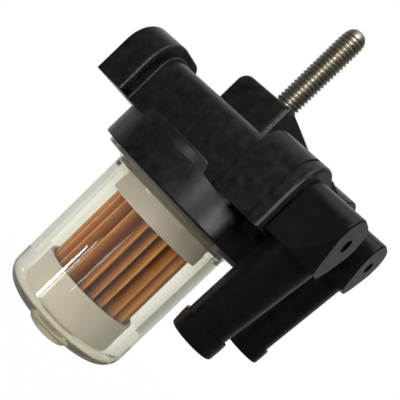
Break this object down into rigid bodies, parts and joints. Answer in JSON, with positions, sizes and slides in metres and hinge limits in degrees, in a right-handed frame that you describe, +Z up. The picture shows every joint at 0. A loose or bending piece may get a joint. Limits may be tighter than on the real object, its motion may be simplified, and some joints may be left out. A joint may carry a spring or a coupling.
{
  "type": "fuel filter",
  "caption": "Stud-mounted fuel filter head with two hose elbows and a clear screw-on bowl around a pleated element; the bowl unscrews and the element draws off its stem.",
  "frame": {"origin": "on the stud's axis, where the stud leaves its flat seat on the head", "axes": "+Z up the stud, away from the bowl; +X along the galleries towards the hose elbows; -Y the inlet side"},
  "size_m": [0.0636, 0.045, 0.097],
  "materials": {
    "black_plastic": "satin",
    "stainless": "rolled thread",
    "clear_plastic": "polished",
    "white_plastic": "satin",
    "filter_paper": "matte",
    "adhesive": "satin",
    "seal_rubber": "matte"
  },
  "bodies": {
    "head": {"head_body": "black_plastic", "mount_stud": "stainless", "gallery_end_cap": "black_plastic", "gallery_end_cap_o_ring": "seal_rubber", "inlet_elbow": "black_plastic", "inlet_elbow_o_ring": "seal_rubber", "inlet_elbow_clip": "black_plastic", "outlet_elbow": "black_plastic", "outlet_elbow_o_ring": "seal_rubber", "outlet_elbow_clip": "black_plastic"},
    "bowl_seal": {"bowl_o_ring": "seal_rubber"},
    "bowl": {"filter_bowl": "clear_plastic"},
    "element": {"element_top_cap": "white_plastic", "element_top_bed": "adhesive", "element_pleats": "filter_paper", "element_core_tube": "white_plastic", "element_bottom_bed": "adhesive", "element_bottom_cap": "white_plastic", "element_grommet": "seal_rubber"}
  },
  "joints": [
    {"name": "bowl_drop", "type": "slide", "parent": "head", "child": "bowl_seal", "axis": [0, 0, -1], "range_m": [0, 0.006]},
    {"name": "bowl_turn", "type": "hinge", "parent": "bowl_seal", "child": "bowl", "pos_m": [0, -0.0027, -0.0319], "axis": [0, 0, -1], "range_deg": [0, 720]},
    {"name": "element_drop", "type": "slide", "parent": "head", "child": "element", "axis": [0, 0, -1], "range_m": [0, 0.006]}
  ],
  "couplings": [
    {"joint": "bowl_drop", "follows": "bowl_turn", "m_per_rad": 0.00047746},
    {"joint": "element_drop", "follows": "bowl_turn", "m_per_rad": 0.00047746}
  ]
}
